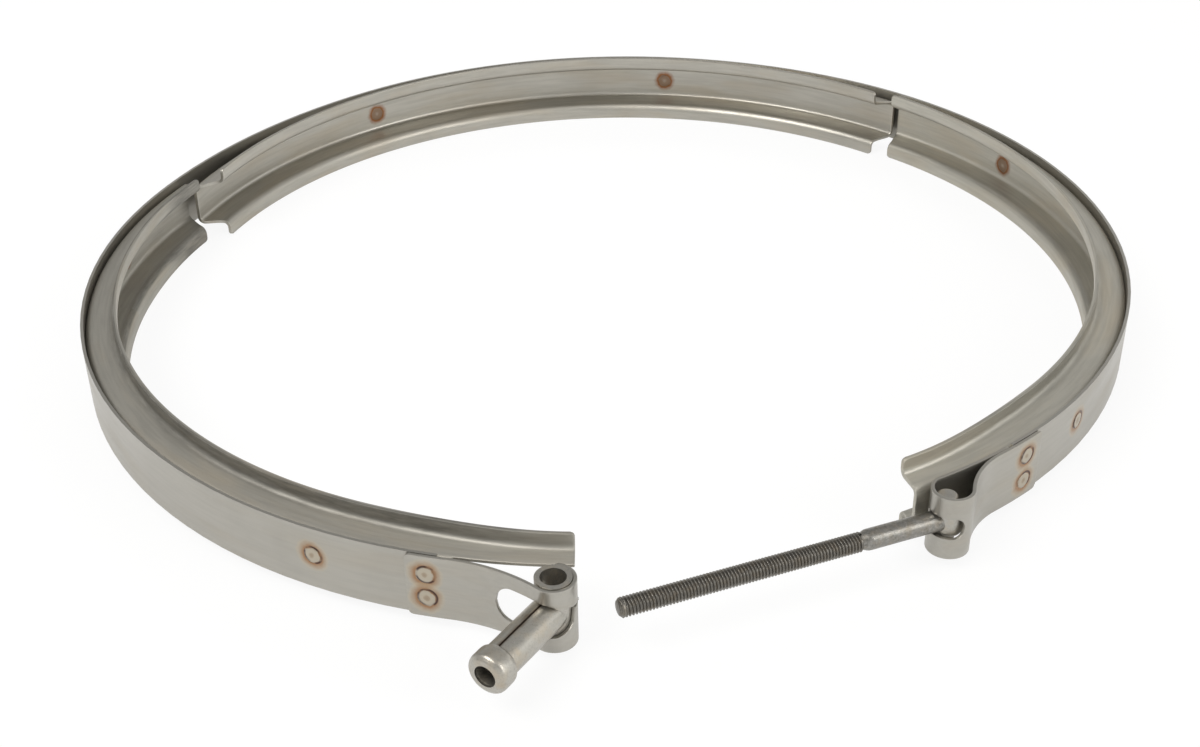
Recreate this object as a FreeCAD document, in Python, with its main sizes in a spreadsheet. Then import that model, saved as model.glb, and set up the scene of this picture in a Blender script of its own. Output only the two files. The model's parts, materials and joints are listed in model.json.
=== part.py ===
import FreeCAD, Part
import math
import os
import Sketcher

# V-band clamp for a pipe joint, sprung open.
#
# Three roll-formed V retainers are spot welded inside one thin outer band. Each end of the band
# carries a folded loop strap: one holds the trunnion, the other the T-bolt.
# Origin: the axis of the back retainer, on the clamp's middle plane. +Z is the pipe's axis.
# Azimuths turn anticlockwise about +Z from +X. The back retainer lies at +Y, the latch at -Y.
# Millimetres and degrees.

doc = FreeCAD.newDocument("v_band_clamp")
Vec = FreeCAD.Vector

SIZES = [
    # the rolled V section, the same for the three retainers
    ("lip_radius", 163.0, "inner radius of the lips"),
    ("channel_depth", 11.3, "from the lips' inner radius to the web's outer radius"),
    ("channel_width", 28.6, "overall width over the two lips"),
    ("root_width", 13.4, "flat width inside the web between the two flanges"),
    ("flange_angle", 20.0, "each flange from the radial plane: a 40 degree V"),
    ("retainer_sheet", 1.3, "sheet of the retainers"),
    ("web_bend", 1.5, "inner radius of the bends beside the web"),
    ("lip_bend", 2.0, "inner radius of the bends beside the lips"),
    # where the three retainers stand with the clamp open
    ("left_centre_x", -12.4, "axis of the left retainer"),
    ("left_centre_y", -17.5, ""),
    ("right_centre_x", 5.4, "axis of the right retainer"),
    ("right_centre_y", -2.0, ""),
    ("back_start", 45.6, "azimuths of the ends, each about its own axis"),
    ("back_end", 163.2, ""),
    ("left_start", 155.66, ""),
    ("left_end", 268.66, ""),
    ("right_start", -63.58, ""),
    ("right_end", 47.05, ""),
    ("lip_setback", 4.2, "how far the lips stop short of the web's end"),
    ("left_web_setback", 3.7, "how far the left web stops short of its lips"),
    ("notch_start", 257.0, "the left web is cut away from here to its free end"),
    ("notch_radius", 170.3, "inner edge of that cut"),
    # outer band
    ("band_sheet", 1.0, "thickness of the band"),
    ("band_width", 21.0, "width of the band and of both straps"),
    ("weld_gap", 0.05, "between sheets that are welded together"),
    ("band_left_end", 256.6, "azimuths of the band's two ends"),
    ("band_right_end", -51.6, ""),
    ("left_bridge", 17.0, "half angle over which the band lies free beside each gap"),
    ("right_bridge", 13.0, ""),
    # loop straps and their pivots
    ("strap_sheet", 1.1, "thickness of both straps"),
    ("pivot_radius", 5.25, "radius of the trunnion's barrel and of the T-bolt's head"),
    ("pivot_clearance", 0.1, "between a pivot and its loop"),
    ("left_pivot", 267.25, "azimuth of the trunnion's barrel"),
    ("left_strap_end", 253.6, "azimuth where the left strap starts on the band"),
    ("left_reverse", 56.0, "radius of the left strap's reverse bend"),
    ("left_wrap", 222.0, "how far the left strap curls round the barrel"),
    ("right_pivot", -61.06, "azimuth of the T-bolt's head"),
    ("right_strap_end", -47.3, "azimuth where the right strap starts on the band"),
    ("right_reverse", 30.0, "radius of the right strap's reverse bend"),
    ("stem_window", 5.8, "half height of the window for the trunnion's stem"),
    ("stem_window_left", 17.5, "its left end, from the barrel's axis"),
    ("stem_window_side", 65.0, "its right end, from the strap's own direction"),
    ("bolt_window", 4.0, "half height of the window for the bolt's shank"),
    ("bolt_window_left", 112.0, "its ends, as angles from the pivot's outer side"),
    ("bolt_window_right", 24.0, ""),
    ("bolt_slot", 3.5, "half height of the slot where the bolt enters the left loop"),
    # trunnion
    ("trunnion_angle", 237.0, "direction of the stem"),
    ("barrel_height", 21.6, "height of the barrel"),
    ("barrel_bore", 3.7, "radius of the hole along the barrel"),
    ("stem_radius", 5.1, "radius of the stem"),
    ("stem_length", 32.0, "from the barrel's axis to the mouth of the collar"),
    ("stem_bore", 3.3, "radius of the hole for the bolt"),
    ("collar_radius", 5.75, "radius of the collar at the stem's mouth"),
    ("collar_length", 6.4, "length of the collar"),
    ("collar_round", 1.6, "rounding of the collar's mouth"),
    ("seam_width", 0.5, "seam left open along the rolled stem"),
    ("seam_length", 15.0, "length of the open seam"),
    # T-bolt
    ("bolt_angle", 201.7, "direction of the bolt"),
    ("head_height", 20.6, "height of the cross head"),
    ("shank_radius", 3.15, "radius of the plain shank"),
    ("shank_length", 29.2, "from the head's axis to the first thread"),
    ("thread_radius", 2.95, "outer radius of the M6 thread"),
    ("thread_length", 75.0, "length of the thread"),
    ("thread_chamfer", 0.9, "chamfer at the bolt's free end"),
]

sheet = doc.addObject("Spreadsheet::Sheet", "Sizes")
for row, (alias, value, note) in enumerate(SIZES, start=1):
    sheet.set("A%d" % row, alias)
    sheet.set("B%d" % row, "%g" % value)
    sheet.setAlias("B%d" % row, alias)
    sheet.set("C%d" % row, note)
doc.recompute()


def val(expression):
    """The number that an expression gives with the sheet's present sizes."""
    return float(sheet.evalExpression(expression))


def S(expression):
    """Puts the sheet's name before each of its aliases in an expression."""
    words = []
    word = ""
    for char in expression + " ":
        if char.isalnum() or char == "_":
            word += char
            continue
        words.append("Sizes." + word if word in ALIASES else word)
        words.append(char)
        word = ""
    return "".join(words).strip()


ALIASES = {alias for alias, value, note in SIZES}


def bind(thing, **sizes):
    """Binds an object's properties to expressions over the sheet."""
    for name, expression in sizes.items():
        thing.setExpression(name, S(expression))


def stand(thing, x, y, angle, z="0"):
    """Places an object on the plan: turned about +Z, then moved."""
    thing.Placement.Rotation = FreeCAD.Rotation(Vec(0, 0, 1), 0)
    thing.setExpression("Placement.Base.x", S(x))
    thing.setExpression("Placement.Base.y", S(y))
    thing.setExpression("Placement.Base.z", S(z))
    thing.setExpression("Placement.Rotation.Yaw", S("mod({0} + 540; 360) - 180".format(angle)))


# ---------------------------------------------------------------- derived sizes
WEB_OUT = "(lip_radius + channel_depth)"
WEB_IN = "(lip_radius + channel_depth - retainer_sheet)"
LIP_OUT = "(lip_radius + retainer_sheet)"
# the flange's two faces, as half widths at the web's inner radius
FACE_IN = "(root_width / 2)"
FACE_OUT = "(root_width / 2 + retainer_sheet / cos(flange_angle))"
SLOPE = "tan(flange_angle)"
BAND_IN = "(lip_radius + channel_depth + weld_gap)"
# the outer legs lie over the band on one side and over the folded inner leg on the other
LEG_IN = "(lip_radius + channel_depth + max(band_sheet; strap_sheet) + 2 * weld_gap)"
LOOP_IN = "(pivot_radius + pivot_clearance)"
# the pivots stand so that a strap just fits between them and the web
PIVOT_R = "(lip_radius + channel_depth + weld_gap + strap_sheet + pivot_clearance + pivot_radius)"


# ---------------------------------------------------------------- sketch helpers
def plane(body, role):
    """One of a body's own origin planes or axes."""
    for feature in body.Origin.OriginFeatures:
        if feature.Role == role:
            return feature
    raise RuntimeError("no " + role)


def sketch_on(body, role, name):
    sketch = body.newObject("Sketcher::SketchObject", name)
    sketch.AttachmentSupport = [(plane(body, role), "")]
    sketch.MapMode = "FlatFace"
    return sketch


def datum(sketch, kind, name, expression, *where):
    """A named dimension bound to an expression."""
    value = val(expression)
    if kind == "Angle":
        value = math.radians(value)
    index = sketch.addConstraint(Sketcher.Constraint(kind, *where, value))
    sketch.renameConstraint(index, name)
    sketch.setExpression("Constraints." + name, S(expression))


def outline(sketch, corners):
    """A closed outline of straight lines whose corners are bound to expressions."""
    points = [Vec(val(x), val(y), 0) for x, y in corners]
    count = len(points)
    lines = []
    for k in range(count):
        lines.append(sketch.addGeometry(Part.LineSegment(points[k], points[(k + 1) % count]), False))
    for k in range(count):
        sketch.addConstraint(Sketcher.Constraint("Coincident", lines[k], 2, lines[(k + 1) % count], 1))
    for k, (x, y) in enumerate(corners):
        datum(sketch, "DistanceX", "x%d" % k, x, -1, 1, lines[k], 1)
        datum(sketch, "DistanceY", "y%d" % k, y, -1, 1, lines[k], 1)


def arc(x, y, radius, start, end):
    circle = Part.Circle(Vec(x, y, 0), Vec(0, 0, 1), radius)
    return Part.ArcOfCircle(circle, math.radians(start), math.radians(end))


# ---------------------------------------------------------------- retainers
def retainer(label, centre_x, centre_y, start, end, trims, notch=None):
    """A roll-formed V channel: the section turned through the retainer's own arc."""
    body = doc.addObject("PartDesign::Body", label)
    body.Label = label
    half = "(channel_width / 2)"
    face_in = "({0} + (channel_depth - retainer_sheet) * {1})".format(FACE_IN, SLOPE)
    face_out = "({0} + (channel_depth - 2 * retainer_sheet) * {1})".format(FACE_OUT, SLOPE)
    web_edge = "({0} - retainer_sheet * {1})".format(FACE_OUT, SLOPE)
    upper = [
        (WEB_IN, FACE_IN),
        ("lip_radius", face_in),
        ("lip_radius", half),
        (LIP_OUT, half),
        (LIP_OUT, face_out),
        (WEB_OUT, web_edge),
    ]
    lower = [(x, "-" + y) for x, y in reversed(upper)]
    profile = sketch_on(body, "XZ_Plane", label + "_section")
    outline(profile, upper + lower)
    ring = body.newObject("PartDesign::Revolution", label + "_roll")
    ring.Profile = profile
    ring.ReferenceAxis = (profile, ["V_Axis"])
    bind(ring, Angle="{0} - {1}".format(end, start))
    doc.recompute()

    # each bend is a pair of fillets, one on either side of the sheet
    bends = [
        (WEB_IN, FACE_IN, "web_bend"),
        (WEB_OUT, web_edge, "web_bend + retainer_sheet"),
        (LIP_OUT, face_out, "lip_bend"),
        ("lip_radius", face_in, "lip_bend + retainer_sheet"),
    ]
    base = ring
    for number, (radius, height, size) in enumerate(bends, start=1):
        edges = ring_edges(base.Shape, val(radius), val(height))
        bend = body.newObject("PartDesign::Fillet", "%s_bend%d" % (label, number))
        bend.Base = (base, edges)
        bind(bend, Radius=size)
        doc.recompute()
        base = bend

    for number, (at_end, web_back, lip_back) in enumerate(trims, start=1):
        cut = sketch_on(body, "XY_Plane", "%s_trim%d_sketch" % (label, number))
        sweep = "({0} - {1})".format(end, start) if at_end else "0"
        sign = "-1" if at_end else "1"
        corners = []
        for radius, along in (
            (LIP_OUT + " - 6", lip_back),
            (LIP_OUT, lip_back),
            (WEB_OUT + " + 1", web_back),
            (WEB_OUT + " + 1", "-3"),
            (LIP_OUT + " - 6", "-3"),
        ):
            # a point this far along the arc from the retainer's end plane
            x = "({0}) * cos({1}) - {2} * ({3}) * sin({1})".format(radius, sweep, sign, along)
            y = "({0}) * sin({1}) + {2} * ({3}) * cos({1})".format(radius, sweep, sign, along)
            corners.append((x, y))
        outline(cut, corners)
        trim = body.newObject("PartDesign::Pocket", "%s_trim%d" % (label, number))
        trim.Profile = cut
        trim.Type = "ThroughAll"
        trim.Midplane = True
        doc.recompute()

    if notch:
        cut = sketch_on(body, "XY_Plane", label + "_notch_sketch")
        first = "({0} - {1})".format(notch, start)
        last = "({0} - {1} + 2)".format(end, start)
        inner = cut.addGeometry(arc(0, 0, val("notch_radius"), val(first), val(last)), False)
        outer_r = "({0} + 4)".format(WEB_OUT)
        outer = cut.addGeometry(arc(0, 0, val(outer_r), val(first), val(last)), False)
        sides = []
        for angle in (first, last):
            unit = Vec(val("cos({0})".format(angle)), val("sin({0})".format(angle)), 0)
            line = Part.LineSegment(unit * val("notch_radius"), unit * val(outer_r))
            sides.append(cut.addGeometry(line, False))
        pairs = [(inner, 1, sides[0], 1), (sides[0], 2, outer, 1), (outer, 2, sides[1], 2), (sides[1], 1, inner, 2)]
        for a, at_a, b, at_b in pairs:
            cut.addConstraint(Sketcher.Constraint("Coincident", a, at_a, b, at_b))
        cut.addConstraint(Sketcher.Constraint("Coincident", inner, 3, -1, 1))
        cut.addConstraint(Sketcher.Constraint("Coincident", outer, 3, -1, 1))
        datum(cut, "Radius", "inner", "notch_radius", inner)
        datum(cut, "Radius", "outer", outer_r, outer)
        datum(cut, "DistanceX", "first_x", "notch_radius * cos({0})".format(first), -1, 1, inner, 1)
        datum(cut, "DistanceX", "last_x", "notch_radius * cos({0})".format(last), -1, 1, inner, 2)
        cut.addConstraint(Sketcher.Constraint("PointOnObject", -1, 1, sides[0]))
        cut.addConstraint(Sketcher.Constraint("PointOnObject", -1, 1, sides[1]))
        away = body.newObject("PartDesign::Pocket", label + "_notch")
        away.Profile = cut
        away.Type = "ThroughAll"
        away.Midplane = True
        doc.recompute()
    stand(body, centre_x, centre_y, start)
    return body


def ring_edges(shape, radius, height):
    """Names of the two long edges at this radius, above and below the middle plane."""
    names = []
    for index, edge in enumerate(shape.Edges, start=1):
        curve = edge.Curve
        if not isinstance(curve, Part.Circle) or edge.Length < 3 * curve.Radius * 0.1:
            continue
        if abs(curve.Radius - radius) < 0.01 and abs(abs(curve.Center.z) - height) < 0.01:
            names.append("Edge%d" % index)
    return names


retainer_back = retainer(
    "retainer_back", "0", "0", "back_start", "back_end",
    [(False, "0", "lip_setback"), (True, "0", "lip_setback")],
)
retainer_left = retainer(
    "retainer_left", "left_centre_x", "left_centre_y", "left_start", "left_end",
    [(False, "left_web_setback", "0")], notch="notch_start",
)
retainer_right = retainer(
    "retainer_right", "right_centre_x", "right_centre_y", "right_start", "right_end",
    [(True, "0", "lip_setback")],
)


# ---------------------------------------------------------------- bent strips
def path_sketch(name, arcs):
    """Tangent arcs, end to end. Each: centre x, y, radius, start, end, is it run backwards.

    A centre or radius of None is left to the tangency on both sides."""
    sketch = doc.addObject("Sketcher::SketchObject", name)
    for x, y, radius, start, end, back in arcs:
        sketch.addGeometry(arc(x[1], y[1], radius[1], start, end), False)
    for k, (x, y, radius, start, end, back) in enumerate(arcs):
        if radius[0]:
            datum(sketch, "Radius", "radius%d" % k, radius[0], k)
        if x[0]:
            datum(sketch, "DistanceX", "x%d" % k, x[0], -1, 1, k, 3)
            datum(sketch, "DistanceY", "y%d" % k, y[0], -1, 1, k, 3)
        if k:
            before = 1 if arcs[k - 1][5] else 2
            after = 2 if back else 1
            sketch.addConstraint(Sketcher.Constraint("Tangent", k - 1, before, k, after))
    return sketch


def strip(name, sketch, thickness, width):
    """A sheet strip on edge: the path thickened to its outer side, then given its width."""
    skin = doc.addObject("Part::Offset2D", name + "_skin")
    skin.Source = sketch
    skin.Mode = "Skin"
    skin.Join = "Tangent"
    skin.Fill = True
    bind(skin, Value=thickness)
    solid = doc.addObject("Part::Extrusion", name + "_strip")
    solid.Base = skin
    solid.DirMode = "Custom"
    solid.Dir = Vec(0, 0, 1)
    solid.Symmetric = True
    solid.Solid = True
    bind(solid, LengthFwd=width)
    doc.recompute()
    return solid


def unit(angle):
    return math.cos(math.radians(angle)), math.sin(math.radians(angle))


# The band hugs each retainer and lies free in a flatter arc where it crosses a gap. That arc
# touches both circles, so its centre is on the line that halves the way between their axes.
def bridge(x, y, half):
    distance = "sqrt(({0})^2 + ({1})^2)".format(x, y)
    spread = "({0} / (2 * sin({1})))".format(distance, half)
    return distance, spread


def outer_band():
    lx, ly = val("left_centre_x"), val("left_centre_y")
    rx, ry = val("right_centre_x"), val("right_centre_y")
    inner = val(BAND_IN)
    left_turn = math.degrees(math.atan2(ly, lx)) - 90
    left_turn %= 360
    right_turn = math.degrees(math.atan2(ry, rx)) + 90
    left_half, right_half = val("left_bridge"), val("right_bridge")
    left_more = val(bridge("left_centre_x", "left_centre_y", "left_bridge")[1])
    right_more = val(bridge("right_centre_x", "right_centre_y", "right_bridge")[1])
    lu = unit(left_turn - left_half)
    ru = unit(right_turn + right_half)
    right_end = val("band_right_end")
    arcs = [
        (("right_centre_x", rx), ("right_centre_y", ry), (BAND_IN, inner), right_end, right_turn - right_half, False),
        ((None, -right_more * ru[0]), (None, -right_more * ru[1]),
         (BAND_IN + " + " + bridge("right_centre_x", "right_centre_y", "right_bridge")[1], inner + right_more),
         right_turn - right_half, right_turn + right_half, False),
        (("0", 0), ("0", 0), (BAND_IN, inner), right_turn + right_half, left_turn - left_half, False),
        ((None, -left_more * lu[0]), (None, -left_more * lu[1]),
         (BAND_IN + " + " + bridge("left_centre_x", "left_centre_y", "left_bridge")[1], inner + left_more),
         left_turn - left_half, left_turn + left_half, False),
        (("left_centre_x", lx), ("left_centre_y", ly), (BAND_IN, inner), left_turn + left_half, val("band_left_end"), False),
    ]
    sketch = path_sketch("band_path", arcs)
    ends = (
        (0, 1, "right_centre_x", "right_centre_y", "band_right_end"),
        (4, 2, "left_centre_x", "left_centre_y", "band_left_end"),
    )
    for arc_index, end, x, y, angle in ends:
        datum(sketch, "DistanceY", "end%d" % arc_index, "{0} + {1} * sin({2})".format(y, BAND_IN, angle), -1, 1, arc_index, end)
    band = strip("band", sketch, "band_sheet", "band_width")
    band.Label = "outer_band"
    return band


band = outer_band()


def loop_path(name, side, strap_end, pivot, reverse, wrap=None, inner_end=None):
    """The plan of a loop strap, with +X through its pivot.

    The outer leg lies on the band, a reverse bend lifts it off and the loop curls round the pivot.
    Side is +1 when the strap runs anticlockwise towards its pivot, -1 when clockwise."""
    leg, loop, far, bend = val(LEG_IN), val(LOOP_IN), val(PIVOT_R), val(reverse)
    start = -abs(val(pivot) - val(strap_end))
    a, b = leg + bend, loop + bend
    lean = math.degrees(math.acos((a * a + far * far - b * b) / (2 * a * far)))
    ox, oy = a * math.cos(math.radians(lean)), -a * math.sin(math.radians(lean))
    turn = math.degrees(math.atan2(oy, ox - far))

    def sided(x, y, radius, first, last, back):
        if side > 0:
            return (x, y, radius, first, last, back)
        flipped = (y[0], -y[1])
        return (x, flipped, radius, -last, -first, not back)

    stop = turn + val(wrap) if wrap else 180.0
    arcs = [
        sided(("0", 0), ("0", 0), (LEG_IN, leg), start, -lean, False),
        sided((None, ox), (None, oy), (reverse, bend), turn - 180, 180 - lean, True),
        sided((PIVOT_R, far), ("0", 0), (LOOP_IN, loop), turn, stop, False),
    ]
    if inner_end:
        last = -abs(val(pivot) - val(inner_end))
        arcs.append(sided(("0", 0), ("0", 0), (None, far - loop), last, 0, True))
    sketch = path_sketch(name, arcs)
    first_end = 1 if side > 0 else 2
    sign = "-" if side > 0 else ""
    swing = "abs({0} - ({1}))".format(pivot, strap_end)
    datum(sketch, "DistanceY", "leg_end", "{0}{1} * sin({2})".format(sign, LEG_IN, swing), -1, 1, 0, first_end)
    if wrap:
        datum(sketch, "Angle", "wrap", wrap, 2)
    if inner_end:
        swing = "abs({0} - ({1}))".format(pivot, inner_end)
        inner_r = "({0} - {1})".format(PIVOT_R, LOOP_IN)
        datum(sketch, "DistanceY", "inner_end", "{0}{1} * sin({2})".format(sign, inner_r, swing), -1, 1, 3, first_end)
    return sketch


def cutter(kind, name, x, y, z, angle, **sizes):
    """A cylinder or box laid along a direction of the plan, to cut a window."""
    thing = doc.addObject("Part::" + kind, name)
    bind(thing, **sizes)
    if kind == "Cylinder" and "Angle" not in sizes:
        thing.setExpression("Placement.Rotation.Pitch", "90")
    stand(thing, x, y, angle, z)
    return thing


# left strap: a hook round the front of the barrel, with a window for the stem and the bolt's slot
left_path = loop_path("left_strap_path", 1, "left_strap_end", "left_pivot", "left_reverse", wrap="left_wrap")
left_strip = strip("left_strap", left_path, "strap_sheet", "band_width")
REACH = "(pivot_radius + 14)"
window_left = cutter(
    "Cylinder", "stem_window_left_end", WEB_OUT + " + 2.2", "-stem_window_left", "0", "0",
    Radius="stem_window", Height=REACH,
)
window_front = cutter(
    "Box", "stem_window_front", WEB_OUT + " + 2.2", "-stem_window_left", "-stem_window", "0",
    Length=REACH, Width="stem_window_left", Height="2 * stem_window",
)
window_right = cutter(
    "Cylinder", "stem_window_right_end", PIVOT_R, "0", "0", "90 - stem_window_side",
    Radius="stem_window", Height=REACH,
)
slot_low = cutter("Cylinder", "bolt_slot_low", PIVOT_R, "0", "0", "119", Radius="bolt_slot", Height=REACH)
slot_high = cutter("Cylinder", "bolt_slot_high", PIVOT_R, "0", "0", "150", Radius="bolt_slot", Height=REACH)
left_cut = doc.addObject("Part::MultiFuse", "left_windows")
left_cut.Shapes = [window_left, window_front, window_right, slot_low, slot_high]
left_strap = doc.addObject("Part::Cut", "loop_strap_left")
left_strap.Base = left_strip
left_strap.Tool = left_cut
left_strap.Label = "loop_strap_left"
stand(left_strap, "left_centre_x", "left_centre_y", "left_pivot")

# right strap: folded right round the T-bolt's head, its inner leg in the same layer as the band
right_path = loop_path(
    "right_strap_path", -1, "right_strap_end", "right_pivot", "right_reverse", inner_end="band_right_end - 0.2",
)
right_strip = strip("right_strap", right_path, "strap_sheet", "band_width")
shank_sweep = cutter(
    "Cylinder", "shank_window_sweep", PIVOT_R, "0", "-bolt_window", "-bolt_window_left",
    Radius=REACH, Height="2 * bolt_window", Angle="bolt_window_left + bolt_window_right",
)
shank_side = cutter(
    "Cylinder", "shank_window_right_end", PIVOT_R, "0", "0", "bolt_window_right",
    Radius="bolt_window - 0.1", Height=REACH,
)
shank_back = cutter(
    "Cylinder", "shank_window_left_end", PIVOT_R, "0", "0", "-bolt_window_left",
    Radius="bolt_window - 0.1", Height=REACH,
)
right_cut = doc.addObject("Part::MultiFuse", "right_windows")
right_cut.Shapes = [shank_sweep, shank_side, shank_back]
right_strap = doc.addObject("Part::Cut", "loop_strap_right")
right_strap.Base = right_strip
right_strap.Tool = right_cut
right_strap.Label = "loop_strap_right"
stand(right_strap, "right_centre_x", "right_centre_y", "right_pivot")


# ---------------------------------------------------------------- trunnion
def cylinder(name, radius, height, x="0", z="0", along=False):
    thing = doc.addObject("Part::Cylinder", name)
    bind(thing, Radius=radius, Height=height)
    if along:
        thing.Placement.Rotation = FreeCAD.Rotation(Vec(0, 1, 0), 90)
    thing.setExpression("Placement.Base.x", S(x))
    thing.setExpression("Placement.Base.z", S(z))
    return thing


def join(kind, name, first, *others):
    if kind == "Cut":
        thing = doc.addObject("Part::Cut", name)
        thing.Base = first
        thing.Tool = others[0]
        return thing
    thing = doc.addObject("Part::MultiFuse", name)
    thing.Shapes = [first] + list(others)
    return thing


def pivot_place(thing, centre, pivot, angle):
    """Stands a piece, built about its own pivot axis, in its loop."""
    x = "{0}_x + {1} * cos({2})".format(centre, PIVOT_R, pivot)
    y = "{0}_y + {1} * sin({2})".format(centre, PIVOT_R, pivot)
    stand(thing, x, y, angle)


barrel = cylinder("barrel", "pivot_radius", "barrel_height", z="-barrel_height / 2")
stem = cylinder("stem", "stem_radius", "stem_length", along=True)
collar = cylinder("collar", "collar_radius", "collar_length", x="stem_length - collar_length", along=True)
body_solid = join("Fuse", "trunnion_body", barrel, stem, collar)
barrel_hole = cylinder("barrel_hole", "barrel_bore", "barrel_height + 2", z="-barrel_height / 2 - 1")
stem_hole = cylinder("stem_hole", "stem_bore", "stem_length + pivot_radius + 2", x="-pivot_radius - 1", along=True)
seam = doc.addObject("Part::Box", "stem_seam")
bind(seam, Length="seam_length", Width="stem_radius + 1", Height="seam_width")
seam.setExpression("Placement.Base.x", S("stem_length - collar_length - seam_length - 2"))
seam.setExpression("Placement.Base.z", S("stem_bore * 0.75"))
seam.setExpression("Placement.Base.y", S("-stem_radius - 1"))
trunnion_holes = join("Fuse", "trunnion_holes", barrel_hole, stem_hole, seam)
trunnion_raw = join("Cut", "trunnion_raw", body_solid, trunnion_holes)
doc.recompute()


def circle_edges(shape, test):
    names = []
    for index, edge in enumerate(shape.Edges, start=1):
        if isinstance(edge.Curve, Part.Circle) and test(edge.Curve):
            names.append(index)
    return names


mouth = circle_edges(
    trunnion_raw.Shape,
    lambda c: abs(c.Radius - val("collar_radius")) < 0.01 and c.Center.x > val("stem_length - collar_length + 1"),
)
step = circle_edges(
    trunnion_raw.Shape,
    lambda c: abs(c.Radius - val("collar_radius")) < 0.01 and c.Center.x < val("stem_length - collar_length + 1"),
)
trunnion = doc.addObject("Part::Fillet", "trunnion")
trunnion.Base = trunnion_raw
round_mouth = val("collar_round")
trunnion.Edges = [(index, round_mouth, round_mouth) for index in mouth] + [(index, 0.5, 0.5) for index in step]
trunnion.Label = "trunnion"
pivot_place(trunnion, "left_centre", "left_pivot", "trunnion_angle")

# ---------------------------------------------------------------- T-bolt
head = cylinder("bolt_head", "pivot_radius", "head_height", z="-head_height / 2")
shank = cylinder("shank", "shank_radius", "shank_length", along=True)
thread = cylinder("thread", "thread_radius", "thread_length", x="shank_length", along=True)
bolt_raw = join("Fuse", "bolt_raw", head, shank, thread)
doc.recompute()
tip = circle_edges(bolt_raw.Shape, lambda c: c.Center.x > val("shank_length + thread_length - 1"))
bolt = doc.addObject("Part::Chamfer", "t_bolt")
bolt.Base = bolt_raw
tip_size = val("thread_chamfer")
bolt.Edges = [(index, tip_size, tip_size) for index in tip]
bolt.Label = "t_bolt"
pivot_place(bolt, "right_centre", "right_pivot", "bolt_angle")

# ---------------------------------------------------------------- check and write
doc.recompute()
PIECES = [band, retainer_back, retainer_left, retainer_right, left_strap, right_strap, trunnion, bolt]
for thing in doc.Objects:
    if "Invalid" in thing.State or "Error" in thing.State:
        raise RuntimeError("%s failed: %s" % (thing.Name, thing.State))
os.makedirs("parts", exist_ok=True)
for piece in PIECES:
    shape = piece.Shape
    if shape.isNull() or not shape.isValid() or len(shape.Solids) != 1:
        raise RuntimeError("%s is not one valid solid" % piece.Label)
for piece in PIECES:
    piece.Shape.exportStep("parts/%s.step" % piece.Label)
    box = piece.Shape.BoundBox
    print("%-18s volume %9.1f  x %.2f %.2f  y %.2f %.2f  z %.2f %.2f" % (
        piece.Label, piece.Shape.Volume, box.XMin, box.XMax, box.YMin, box.YMax, box.ZMin, box.ZMax))
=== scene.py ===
import json
import math

import bmesh
import bpy
from mathutils import Matrix, Vector


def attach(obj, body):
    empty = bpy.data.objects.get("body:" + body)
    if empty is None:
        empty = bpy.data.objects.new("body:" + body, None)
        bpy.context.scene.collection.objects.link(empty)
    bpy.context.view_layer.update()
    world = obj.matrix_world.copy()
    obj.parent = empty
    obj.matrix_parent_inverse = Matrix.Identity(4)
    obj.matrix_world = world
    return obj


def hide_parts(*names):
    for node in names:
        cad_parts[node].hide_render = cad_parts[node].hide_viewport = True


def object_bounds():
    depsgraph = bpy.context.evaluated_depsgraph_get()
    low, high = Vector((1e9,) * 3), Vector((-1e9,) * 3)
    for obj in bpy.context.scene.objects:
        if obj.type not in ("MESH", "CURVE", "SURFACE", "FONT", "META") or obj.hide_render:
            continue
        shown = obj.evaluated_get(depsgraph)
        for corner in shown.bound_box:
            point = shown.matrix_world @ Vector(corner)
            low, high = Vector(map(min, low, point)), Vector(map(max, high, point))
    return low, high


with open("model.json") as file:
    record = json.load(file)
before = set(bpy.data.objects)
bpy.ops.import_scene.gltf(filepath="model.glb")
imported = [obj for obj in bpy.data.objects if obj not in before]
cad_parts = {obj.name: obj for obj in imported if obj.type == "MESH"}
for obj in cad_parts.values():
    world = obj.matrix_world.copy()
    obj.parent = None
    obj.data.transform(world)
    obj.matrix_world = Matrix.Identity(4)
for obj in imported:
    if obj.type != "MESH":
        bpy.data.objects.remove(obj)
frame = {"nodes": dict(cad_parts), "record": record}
cad_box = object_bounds()

nodes = frame["nodes"]
record = frame["record"]
joints = {joint["name"]: joint for joint in record["behaviour"]["joints"]}
mounts = {mount["name"]: mount for mount in record["mounts"]}
MM = 0.001

# The three retainers' axes in plan, in metres.
AXIS_BACK = (0.0, 0.0)
AXIS_LEFT = (-0.0124, -0.0175)
AXIS_RIGHT = (0.0054, -0.0020)

# Radii of the surfaces that carry spot welds.
WEB_INSIDE = 173.0 * MM
BAND_OUTSIDE = 175.35 * MM
STRAP_OUTSIDE = 176.6 * MM

# Painted shade on the lips' outer faces: from this radius outwards, over this width.
LIP_OUTSIDE = 163.2 * MM
LIP_SHADE_WIDTH = 6.0 * MM

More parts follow.
